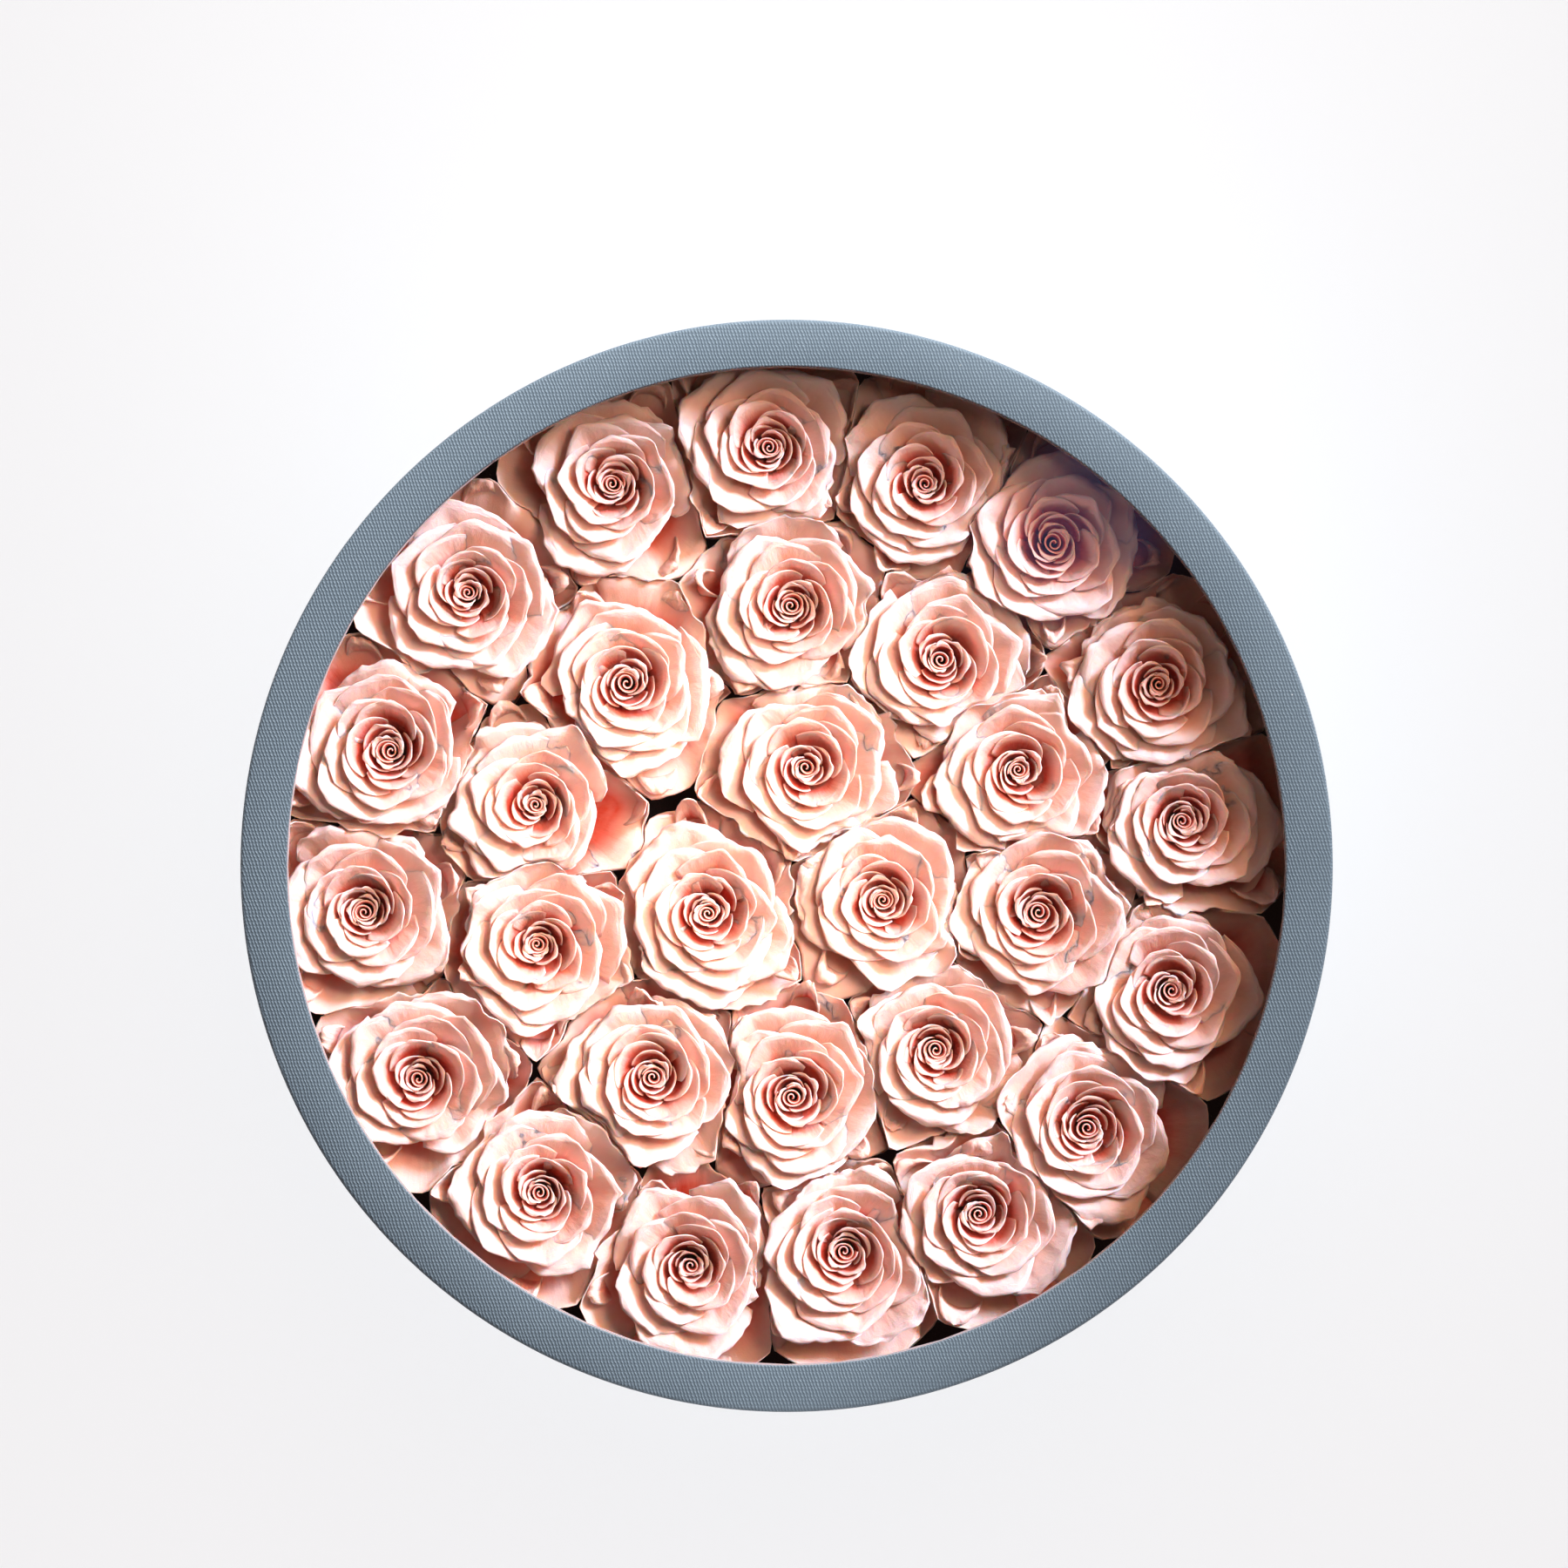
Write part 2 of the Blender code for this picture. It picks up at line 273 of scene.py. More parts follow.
def embossed_paper():
    """Blue-grey paper pressed with rows of short slanted bumps, laid flat on the piece's paper map. The bump
    tops are painted paler, a painted highlight.
    """
    material, tree, shader = new_material("embossed_paper")
    flat = add_node(tree, "ShaderNodeUVMap", uv_map="paper").outputs[0]
    place = tree.nodes.new("ShaderNodeSeparateXYZ")
    wander = add_noise(tree, flat, 260, 1)
    tree.links.new(flat, place.inputs[0])
    row = add_math(tree, "DIVIDE", place.outputs[1], GRAIN_ROW)
    row_number = add_math(tree, "FLOOR", row)
    in_row = add_math(tree, "SUBTRACT", add_math(tree, "FRACT", row), 0.5)
    column = add_math(tree, "DIVIDE", place.outputs[0], GRAIN_COLUMN)
    column = add_math(tree, "MULTIPLY_ADD", row_number, GRAIN_STAGGER, column)
    column = add_math(tree, "MULTIPLY_ADD", in_row, GRAIN_SLANT, column)
    column = add_math(tree, "MULTIPLY_ADD", wander, GRAIN_WANDER, column)
    in_column = add_math(tree, "SUBTRACT", add_math(tree, "FRACT", column), 0.5)
    across = add_math(tree, "POWER", add_math(tree, "DIVIDE", in_column, GRAIN_HALF_WIDTH), 2.0)
    along = add_math(tree, "POWER", add_math(tree, "DIVIDE", in_row, GRAIN_HALF_LENGTH), 2.0)
    away = add_math(tree, "ADD", across, along)
    grain = stretch(tree, away, 1.15, 0.1)
    blotch = add_noise(tree, flat, 38, 3)
    fibre = add_noise(tree, flat, 2600, 2)
    # Painted highlight: the bump tops are painted towards the pale colour, over the paper's own blotchy tone.
    bump_highlight_and_blotch = add_math(tree, "MULTIPLY_ADD", blotch, 0.35, add_math(tree, "MULTIPLY", grain, 0.62))
    colour = add_blend(tree, bump_highlight_and_blotch, PAPER_DARK, PAPER_PALE)
    specks = add_node(tree, "ShaderNodeTexVoronoi", {"Scale": 210.0})
    tree.links.new(flat, specks.inputs["Vector"])
    dust = stretch(tree, specks.outputs["Distance"], 0.05, 0.03)
    rare = stretch(tree, add_noise(tree, flat, 90, 0), 0.66, 0.70)
    colour = add_blend(tree, add_math(tree, "MULTIPLY", dust, rare), colour, PAPER_DUST)
    tree.links.new(colour, shader.inputs["Base Color"])
    tree.links.new(stretch(tree, grain, 0, 1, 0.62, 0.44), shader.inputs["Roughness"])
    bump = add_bump(tree, fibre, 0.03 * MM, 0.6)
    tree.links.new(add_bump(tree, grain, GRAIN_DEPTH, 1.0, bump), shader.inputs["Normal"])
    return material


def board(name, colour, roughness):
    """Card or board with a fine fibre."""
    material, tree, shader = new_material(name)
    place = tree.nodes.new("ShaderNodeTexCoord").outputs["Object"]
    fibre = add_noise(tree, place, 900, 4, 0.6)
    dim = tuple(0.82 * part for part in colour)
    tree.links.new(add_blend(tree, fibre, (*dim, 1), (*colour, 1)), shader.inputs["Base Color"])
    shader.inputs["Roughness"].default_value = roughness
    tree.links.new(add_bump(tree, fibre, 0.06 * MM, 0.5), shader.inputs["Normal"])
    return material


def dusty_black(name, grain, depth):
    """Black card or foam with fallen petal dust on it."""
    material, tree, shader = new_material(name)
    place = tree.nodes.new("ShaderNodeTexCoord").outputs["Object"]
    pores = add_noise(tree, place, grain, 5, 0.65)
    colour = add_blend(tree, pores, (0.006, 0.006, 0.007, 1), (0.022, 0.021, 0.023, 1))
    specks = add_node(tree, "ShaderNodeTexVoronoi", {"Scale": 420.0})
    tree.links.new(place, specks.inputs["Vector"])
    dust = stretch(tree, specks.outputs["Distance"], 0.10, 0.05)
    rare = stretch(tree, add_noise(tree, place, 160, 0), 0.56, 0.62)
    colour = add_blend(tree, add_math(tree, "MULTIPLY", dust, rare), colour, (0.55, 0.50, 0.46, 1))
    tree.links.new(colour, shader.inputs["Base Color"])
    shader.inputs["Roughness"].default_value = 0.85
    tree.links.new(add_bump(tree, pores, depth), shader.inputs["Normal"])
    return material


def clear_sheet():
    """The window: all but unseen face on, with a hard reflection."""
    material, tree, shader = new_material("clear_sheet")
    place = tree.nodes.new("ShaderNodeTexCoord").outputs["Object"]
    shader.inputs["Base Color"].default_value = (0.94, 0.97, 1.0, 1)
    shader.inputs["Metallic"].default_value = 1.0
    shader.inputs["Roughness"].default_value = 0.07
    facing = add_node(tree, "ShaderNodeLayerWeight", {"Blend": 0.5})
    grazing = add_math(tree, "POWER", facing.outputs["Facing"], 5.0)
    tree.links.new(stretch(tree, grazing, 0.0, 1.0, 0.03, 0.9), shader.inputs["Alpha"])
    ripple = add_noise(tree, place, 9, 1)
    tree.links.new(add_bump(tree, ripple, 0.6 * MM, 0.25), shader.inputs["Normal"])
    return material


def petal_skin():
    """Peach petal with fine veins and a velvet grain. It is paler at the edge and on the outer petals, partly
    its own colour and partly a painted highlight, and turns deep red down inside the bloom, which is painted
    shade.
    """
    material, tree, shader = new_material("rose_petal")
    flat = add_node(tree, "ShaderNodeUVMap", uv_map="petal").outputs[0]
    place = tree.nodes.new("ShaderNodeTexCoord").outputs["Object"]
    depth = add_node(tree, "ShaderNodeAttribute", attribute_name="depth").outputs["Fac"]
    tone = add_node(tree, "ShaderNodeAttribute", attribute_name="tone").outputs["Fac"]
    age = add_node(tree, "ShaderNodeAttribute", attribute_name="age").outputs["Fac"]
    # Outer petals are paler: partly their own colour, partly painted light on their open faces.
    outer = stretch(tree, age, 0.3, 0.9)
    edge = add_blend(tree, outer, EDGE_AT_HEART, EDGE_OUTSIDE)
    wall = add_blend(tree, outer, WALL_AT_HEART, WALL_OUTSIDE)
    # Paler near the edge: partly the petal's own colour, partly a painted highlight on the rims.
    colour = add_blend(tree, stretch(tree, depth, 0.0, 0.16), edge, wall)
    # Painted shade: the deeper a point lies below its edge, the nearer it turns to deep red, less on outer
    # petals and more on heart petals.
    painted_shade_depth = add_math(tree, "MULTIPLY_ADD", outer, -0.3, depth)
    painted_shade_depth = add_math(tree, "MULTIPLY", painted_shade_depth, stretch(tree, age, 0.2, 0.4, 2.2, 1.0))
    colour = add_blend(tree, stretch(tree, painted_shade_depth, 0.05, 0.3), colour, DEEP_PAINTED_SHADE)
    colour = add_blend(tree, stretch(tree, tone, -1, 1, 0.0, 0.3), colour, BLUSH)
    blotch = add_noise(tree, place, 130, 3)
    colour = add_blend(tree, stretch(tree, blotch, 0.4, 0.75, 0.0, 0.25), colour, PALE_BLOTCH)
    stretched = add_node(tree, "ShaderNodeMapping", {"Scale": (22, 6, 1)})
    tree.links.new(flat, stretched.inputs["Vector"])
    offset = tree.nodes.new("ShaderNodeCombineXYZ")
    tree.links.new(add_math(tree, "MULTIPLY", tone, 40.0), offset.inputs[2])
    joined = add_node(tree, "ShaderNodeVectorMath", operation="ADD")
    tree.links.new(stretched.outputs[0], joined.inputs[0])
    tree.links.new(offset.outputs[0], joined.inputs[1])
    veins = add_noise(tree, joined.outputs[0], 1.0, 5, 0.66)
    colour = add_blend(tree, stretch(tree, veins, 0.5, 0.8, 0.0, 0.25), colour, VEIN)
    wide = add_node(tree, "ShaderNodeMapping", {"Scale": (0.42, 0.55, 1)})
    tree.links.new(joined.outputs[0], wide.inputs["Vector"])
    creases = add_noise(tree, wide.outputs[0], 1.0, 2, 0.5)
    tree.links.new(colour, shader.inputs["Base Color"])
    shader.inputs["Roughness"].default_value = 0.6
    shader.inputs["Specular IOR Level"].default_value = 0.2
    shader.inputs["Subsurface Weight"].default_value = 0.9
    shader.inputs["Subsurface Radius"].default_value = (1.0, 0.5, 0.32)
    shader.inputs["Subsurface Scale"].default_value = 0.6 * MM
    shader.inputs["Sheen Weight"].default_value = 0.12
    shader.inputs["Sheen Roughness"].default_value = 0.4
    velvet = add_noise(tree, place, 1500, 3, 0.6)
    bump = add_bump(tree, velvet, 0.12 * MM, 0.6)
    bump = add_bump(tree, veins, 0.35 * MM, 0.6, bump)
    tree.links.new(add_bump(tree, creases, 1.2 * MM, 0.45, bump), shader.inputs["Normal"])
    return material


def green_skin():
    material, tree, shader = new_material("calyx_green")
    place = tree.nodes.new("ShaderNodeTexCoord").outputs["Object"]
    blotch = add_noise(tree, place, 300, 3)
    colour = add_blend(tree, blotch, (0.05, 0.10, 0.03, 1), (0.14, 0.22, 0.07, 1))
    tree.links.new(colour, shader.inputs["Base Color"])
    shader.inputs["Roughness"].default_value = 0.6
    tree.links.new(add_bump(tree, blotch, 0.2 * MM), shader.inputs["Normal"])
    return material


# Pieces of the box


def add_piece(name, bm, materials, replaced, smooth_angle=math.radians(40)):
    """Makes a piece of a finished bmesh, which rides on the box and stands for the named nodes."""
    mesh = bpy.data.meshes.new(name)
    bm.to_mesh(mesh)
    bm.free()
    mesh.shade_smooth()
    mesh.set_sharp_from_angle(angle=smooth_angle)
    for material in materials:
        mesh.materials.append(material)
    piece = bpy.data.objects.new(name, mesh)
    bpy.context.scene.collection.objects.link(piece)
    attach(piece, "root")
    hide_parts(*replaced)
    return piece


def turn_outline(outline, rounded=()):
    """Spins a closed outline of (radius, height) points round the box's axis.

    rounded is a list of (index of the point, radius of the rounding, segments).
    """
    bm = bmesh.new()
    corners = [bm.verts.new((radius, 0, height)) for radius, height in outline]
    edges = [bm.edges.new(pair) for pair in zip(corners, corners[1:] + corners[:1])]
    for index, rounding, segments in rounded:
        bmesh.ops.bevel(
            bm,
            geom=[corners[index]],
            affect="VERTICES",
            offset=rounding,
            segments=segments,
            profile=0.5,
            material=-1,
        )
    section = list(bm.verts) + list(bm.edges)
    bmesh.ops.spin(
        bm, geom=section, cent=(0, 0, 0), axis=(0, 0, 1), angle=math.tau, steps=ROUND_STEPS, use_merge=True
    )
    bmesh.ops.recalc_face_normals(bm, faces=bm.faces)
    return bm


def lay_paper(bm):
    """Gives every face its place on the paper: flat tops as seen from above, sides rolled out."""
    paper = bm.loops.layers.uv.new("paper")
    for face in bm.faces:
        middle = face.calc_center_median()
        around = math.atan2(middle.y, middle.x)
        radius = math.hypot(middle.x, middle.y)
        flat = abs(face.normal.z) > 0.75
        for loop in face.loops:
            place = loop.vert.co
            if flat:
                loop[paper].uv = (place.x, place.y)
            else:
                turn = math.remainder(math.atan2(place.y, place.x) - around, math.tau)
                loop[paper].uv = ((around + turn) * radius, place.z)


def add_lid(paper, card):
    """Ring-shaped top and skirt in one: paper outside, plain card at the window's cut edge and inside."""
    low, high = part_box("lid_frame")
    outside, opening = high.x, high.x - FRAME_WIDTH
    inside, under = high.x - LID_BOARD, high.z - LID_RING_BOARD
    outline = [
        (outside, low.z),
        (outside, high.z),
        (opening, high.z),
        (opening, under),
        (inside, under),
        (inside, low.z),
    ]
    rounded = [
        (1, LID_EDGE_ROUNDING, 5),
        (2, OPENING_EDGE_ROUNDING, 3),
        (0, SMALL_ROUNDING, 2),
        (5, SMALL_ROUNDING, 2),
    ]
    bm = turn_outline(outline, rounded)
    lay_paper(bm)
    for face in bm.faces:
        middle = face.calc_center_median()
        radius = math.hypot(middle.x, middle.y)
        bare = radius < inside + 0.1 * MM and middle.z < high.z - OPENING_EDGE_ROUNDING
        face.material_index = 1 if bare else 0
    add_piece("lid", bm, [paper, card], ["lid_frame"])


def add_window(clear):
    low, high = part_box("window_sheet")
    bm = bmesh.new()
    bmesh.ops.create_cone(
        bm, cap_ends=True, segments=ROUND_STEPS, radius1=high.x, radius2=high.x, depth=high.z - low.z
    )
    bmesh.ops.translate(bm, verts=bm.verts, vec=(0, 0, (low.z + high.z) / 2))
    add_piece("window_pane", bm, [clear], ["window_sheet"])


def add_body(paper, black):
    """The wall and floor of the box, and the black lining. Returns the lining's inner radius."""
    low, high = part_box("base_wall")
    inside = high.x - WALL_BOARD
    bm = turn_outline(
        [(high.x, low.z), (high.x, high.z), (inside, high.z), (inside, low.z)],
        [(0, WALL_EDGE_ROUNDING, 3), (1, SMALL_ROUNDING, 2), (2, SMALL_ROUNDING, 2)],
    )
    lay_paper(bm)
    add_piece("box_wall", bm, [paper], ["base_wall"])
    low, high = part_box("base_floor")
    bm = bmesh.new()
    bmesh.ops.create_cone(
        bm, cap_ends=True, segments=ROUND_STEPS, radius1=high.x, radius2=high.x, depth=high.z - low.z
    )
    bmesh.ops.translate(bm, verts=bm.verts, vec=(0, 0, (low.z + high.z) / 2))
    lay_paper(bm)
    add_piece("box_floor", bm, [paper], ["base_floor"])
    low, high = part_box("lining")
    inside = high.x - LINING_CARD
    bm = turn_outline([(high.x, low.z), (high.x, high.z), (inside, high.z), (inside, low.z)])
    add_piece("black_lining", bm, [black], ["lining"])
    return inside


# Roses


def rose_spots(names):
    """Where each rose's stem stands: the middle of its lowest points."""
    spots = []
    for name in names:
        points = [vert.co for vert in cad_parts[name].data.vertices]
        lowest = min(point.z for point in points)
        feet = [point.xy for point in points if point.z < lowest + 0.1 * MM]
        spots.append(sum(feet, Vector((0, 0))) / len(feet))
    return spots


def border_shift(first, second, along, level):
    """How far the border between two blooms swings towards the second, at this distance along it.

    level is -1 low between the blooms and 1 at their top.
    """
    low, high = min(first, second), max(first, second)
    phase = 1.7 * low + 2.9 * high
    wave = math.sin(math.tau * along / BORDER_WAVELENGTH + phase) + 0.5 * math.sin(
        math.tau * along / (0.43 * BORDER_WAVELENGTH) + 2.3 * phase
    )
    over = math.copysign(0.8, math.sin(1.3 * phase))
    over += 0.2 * math.sin(math.tau * along / BORDER_WAVELENGTH + phase)
    away_from_corner = 1 - smooth((abs(along) - BORDER_CALM) / BORDER_CALM)
    shift = BORDER_WAVE * wave / 1.5 + BORDER_OVERLAP * over * level
    return (1 if first < second else -1) * shift * away_from_corner


def room_around(spots, index, wall, level):
    """How far a bloom can reach in each direction: to its border with each neighbour, or to the lining."""
    spot = spots[index]
    room = []
    for step in range(ROOM_STEPS):
        angle = math.tau * step / ROOM_STEPS
        direction = Vector((math.cos(angle), math.sin(angle)))
        along = spot.dot(direction)
        nearest = math.sqrt(along * along + wall * wall - spot.length_squared) - along
        for other, place in enumerate(spots):
            apart = place - spot
            if other == index or apart.length > 2.2 * PETAL_REACH:
                continue
            facing = direction.dot(apart.normalized())
            if facing < 0.25:
                continue
            lean = (1 if index < other else -1) * apart.normalized().cross(direction) / facing
            reach = apart.length / 2
            for _ in range(4):
                reach = apart.length / 2 + border_shift(index, other, reach * lean, level)
            nearest = min(nearest, reach / facing)
        room.append(min(nearest - BLOOM_GAP, PETAL_REACH))
    return room


def room_towards(bloom, angle, height):
    """How far a bloom can reach in a direction at this height, and how much farther low down than at the top."""
    place = (angle / math.tau) % 1 * ROOM_STEPS
    step, beyond = int(place) % ROOM_STEPS, place % 1
    after = (step + 1) % ROOM_STEPS
    level = max(0.0, min(1.0, 0.5 + 0.5 * (height - BLOOM_HEIGHT + BORDER_MIDDLE) / BORDER_DEPTH))
    low, high = (room[step] + (room[after] - room[step]) * beyond for room in bloom.rooms)
    return low + (high - low) * level, low - high


def set_in_place(bloom, radius, angle, height, turn_up=0.0, fill=0.0):
    """A point of a bloom in the box: kept in the bloom's room, and tilted with its face.

    fill 1 spreads the point with the room, so that it reaches into the corners between three blooms. fill 0
    leaves it where it is, unless it comes near the edge of the room, where it is pressed and turned up or
    tucked under.
    """
    out = min(radius / BLOOM_RADIUS, 1.2)
    side = Vector((math.cos(angle), math.sin(angle))) * radius + bloom.heart_shift * max(0.0, 1 - out)
    direction = side.normalized()
    radius, angle = side.length, math.atan2(side.y, side.x)
    lean = bloom.tilt.dot(direction) * radius * max(0.0, height / bloom.height - TILT_STARTS)
    raised = height + lean
    tucked = smooth(room_towards(bloom, angle, raised)[1] / BORDER_OVERLAP)
    turn_up += (TUCK_SLOPE - turn_up) * tucked
    for _ in range(3):
        reach = room_towards(bloom, angle, raised)[0]
        spread = radius * (1 + fill * (reach / BLOOM_RADIUS - 1) * out * out)
        free = reach - PRESSED_EDGE
        pressed = spread
        if spread > free:
            pressed = free + PRESSED_EDGE * (1 - math.exp((free - spread) / PRESSED_EDGE))
        raised = height + lean + min(spread - pressed, LARGEST_PRESS) * turn_up
    return Vector((*(bloom.spot + direction * pressed), bloom.foot + raised))


def folded(bloom, angle, age):
    """How a bloom's outline is folded into straight sides.

    Returns its radius as a share of a circle's, and where the angle lies on its side: 0 at both corners and
    1 halfway.
    """
    angle = (angle - bloom.twist * age - bloom.folds[0]) % math.tau + bloom.folds[0]
    for first, second in zip(bloom.folds, bloom.folds[1:] + [bloom.folds[0] + math.tau]):
        if angle <= second:
            break
    half = (second - first) / 2
    off = angle - first - half
    return math.cos(half) / math.cos(off), 1 - abs(off) / half


def bend_petal(bloom, petal, across, along):
    """Where a petal's point goes, and how deep it lies below the petal's edge.

    across runs from -1 to 1 round the bloom, along from 0 at the foot to 1 at the edge.
    """
    ripple = noise.noise(Vector((across * 1.5, petal.seed, 0.3)))
    swell = noise.noise(Vector((across * 1.1, petal.seed, 7.7)))
    side = across * across
    end = max(0.0, abs(across) - 0.25) ** 2 / 0.56
    crest = petal.height - petal.drop * side - petal.plunge * end + petal.wave * ripple
    angle = petal.angle + across * petal.half_span
    peak = petal.peak * (math.exp(-abs(across) / 0.3) - 0.4)
    outline, on_side = folded(bloom, angle, petal.age)
    flat = petal.flat * (outline - 0.93 + CORNER_POINT * math.exp(-((on_side / 0.16) ** 2)))
    shape = 1 + petal.spiral * across + peak + flat - petal.tuck * end + petal.swell * swell
    radius = petal.radius * shape
    radius += petal.shift * math.cos(angle - petal.shift_angle)
    tip = petal.tip * math.exp(-((across / 0.15) ** 2))
    lip = petal.lip * (1 - 0.8 * side) * (1 + 0.6 * swell) + tip
    lean = math.radians(petal.lean)
    shoulders = 0.3 + 1.1 * smooth(1.4 * on_side)
    curl = math.radians(petal.curl) * shoulders * (1 + 0.7 * ripple)
    if along < WALL_SHARE:
        share = 1 - (1 - along / WALL_SHARE) ** 1.5
        foot = max(petal.foot_height, PETAL_FOOT)
        handle = petal.handle * (crest - foot)
        belly_radius = radius - math.sin(lean) * handle
        belly_height = crest - math.cos(lean) * handle
        back = 1 - share
        out = back * back * petal.foot_radius + 2 * back * share * belly_radius + share * share * radius
        up = back * back * foot + 2 * back * share * belly_height + share * share * crest
        depth = crest - up + 0.5 * lip
    else:
        share = (along - WALL_SHARE) / (1 - WALL_SHARE)
        turned = curl * share
        out = radius + lip * (math.cos(lean) - math.cos(lean + turned)) / curl
        up = crest + lip * (math.sin(lean + turned) - math.sin(lean)) / curl
        depth = 0.5 * lip * (1 - share)
    near_edge = smooth((along - 0.3) / 0.7)
    up -= petal.notch * near_edge**2 * math.exp(-(((across - petal.notch_place) / 0.06) ** 2))
    place = Vector((across * petal.radius / (3.2 * MM), petal.seed * 3.1, along * 2))
    folds = noise.noise(Vector((across * petal.radius / (2.3 * MM), petal.seed * 1.7, along * 1.3)))
    up += petal.crinkle * near_edge * noise.noise(place) + petal.fold * folds * smooth(along * 2.5)
    out += 0.7 * petal.crinkle * near_edge * noise.noise(place + Vector((9, 5, 3)))
    return out, angle, up, depth


def grow_petal(bm, bloom, petal, layers):
    """Adds one petal to a bloom: a grid, bent by bend_petal."""
    made = bmesh.ops.create_grid(bm, x_segments=petal.columns, y_segments=petal.rows, size=1, calc_uvs=True)
    depth_layer, tone_layer, age_layer = layers
    turn_up = 0.5 + noise.noise(Vector((petal.seed, 2.2, 5.5))) * 1.5
    for vert in made["verts"]:
        across, along = vert.co.x, (vert.co.y + 1) / 2
        out, angle, up, depth = bend_petal(bloom, petal, across, along)
        vert.co = set_in_place(bloom, out, angle, up, turn_up, petal.fill)
        # The depth feeds the skin's painted shade; the petal's shade adds more painted shade to guard petals and
        # ruffles.
        vert[depth_layer] = depth / (25 * MM) + petal.shade
        vert[tone_layer] = petal.tone
        vert[age_layer] = petal.age


def grow_core(bm, bloom, height, layers, chance):
    """The rolled heart: one strip wound up in a spiral, highest at its outer end."""
    made = bmesh.ops.create_grid(bm, x_segments=46, y_segments=6, size=1, calc_uvs=True)
    depth_layer, tone_layer, age_layer = layers
    start = chance.uniform(0, math.tau)
    turns = chance.uniform(*CORE_TURNS)
    offset = Vector((chance.uniform(-0.5, 0.5), chance.uniform(-0.5, 0.5))) * MM
    for vert in made["verts"]:
        around, along = (vert.co.x + 1) / 2, 1 - ((1 - vert.co.y) / 2) ** 1.6
        angle = start + around * turns * math.tau
        radius = CORE_START + (CORE_RADIUS * bloom.heart - CORE_START) * around**0.85
        radius += CORE_FLARE * along**7 * (0.3 + 0.7 * around)
        radius *= 1 + 0.1 * math.sin(1.7 * angle)
        up = height - (1 - along) * CORE_DEPTH - (1 - around) * 0.5 * MM + 0.25 * MM * math.sin(3.1 * angle)
        side = Vector((math.cos(angle), math.sin(angle))) * radius + offset * (1 - around)
        vert.co = set_in_place(bloom, side.length, math.atan2(side.y, side.x), up)
        # Painted shade: the core turns deep red quickly below its top.
        vert[depth_layer] = 0.04 + (1 - along) * 1.2
        vert[tone_layer] = 0.6
        vert[age_layer] = 0


def corner_angles(bloom):
    """The directions in which a bloom has most room: the corners between three blooms."""
    room = [(low + high) / 2 for low, high in zip(*bloom.rooms)]
    near = round(ROOM_STEPS * 0.06)
    corners = []
    for step, reach in enumerate(room):
        before = max(room[step - other] for other in range(1, near + 1))
        after = max(room[(step + other) % ROOM_STEPS] for other in range(1, near + 1))
        if reach > BLOOM_RADIUS and reach > before and reach >= after:
            corners.append(math.tau * step / ROOM_STEPS)
    return corners


def plan_petal(bloom, chance, age, angle, turn, recess, openness, well):
    lip = between(PETAL_LIP, age) * chance.uniform(0.7, 1.3)
    lean = between(PETAL_LEAN, age) + chance.uniform(-4, 4)
    curl = between(PETAL_CURL, age) * chance.uniform(0.6, 1.3)
    edge = between(PETAL_EDGE, age) * openness * (1 + chance.uniform(-0.025, 0.025))
    edge *= 1 + (bloom.heart - 1) * (1 - smooth(age / 0.65))
    edge += well * smooth((age - 0.2) / 0.15) * (1 - age)
    start, bent = math.radians(lean), math.radians(curl)
    rolled_out = lip * (math.cos(start) - math.cos(start + bent)) / bent
    sink = between(PETAL_SINK, age) + chance.uniform(-0.5, 0.5) + recess * max(0, 1 - age / 0.35)
    foot_depth = between(PETAL_FOOT_DEPTH, age) * bloom.height / BLOOM_HEIGHT
    return Petal(
        angle=angle,
        half_span=math.radians(between(PETAL_HALF_SPAN, age)) * chance.uniform(0.9, 1.1),
        radius=(edge - rolled_out) * MM,
        height=bloom.height - sink * MM,
        foot_radius=between(PETAL_FOOT_RADIUS, age) * MM * bloom.heart,
        foot_height=bloom.height - (sink + foot_depth) * MM,
        handle=between(PETAL_HANDLE, age),
        lean=lean,
        lip=lip * MM,
        curl=curl,
        drop=between(PETAL_DROP, age) * MM * chance.uniform(0.6, 1.4),
        plunge=between(PETAL_PLUNGE, age) * MM * chance.uniform(0.7, 1.3),
        tuck=between(PETAL_TUCK, age) * chance.uniform(0.7, 1.3),
        tip=(0.45 + 1.2 * age) * MM * chance.uniform(0.1, 1.2),
        spiral=turn * between(PETAL_SPIRAL, age),
        peak=between(PETAL_PEAK, age) * chance.uniform(0, 1.3),
        flat=between(PETAL_FLAT, age) * chance.uniform(0.8, 1.15),
        swell=between(PETAL_SWELL, age),
        shift=between(PETAL_SHIFT, age) * MM * chance.uniform(0, 1.3),
        shift_angle=chance.uniform(0, math.tau),
        wave=between(PETAL_WAVE, age) * MM,
        crinkle=between(PETAL_CRINKLE, age) * MM,
        fold=between(PETAL_FOLD, age) * MM,
        notch=between(PETAL_NOTCH, age) * MM * max(0.0, chance.uniform(-1.5, 1)),
        notch_place=chance.uniform(-0.8, 0.8),
        seed=chance.uniform(0, 100),
        columns=round(between(PETAL_COLUMNS, age)),
        rows=round(between(PETAL_ROWS, age)),
        tone=chance.uniform(-1, 1),
        age=age,
        fill=0.0,
        shade=0.0,
    )


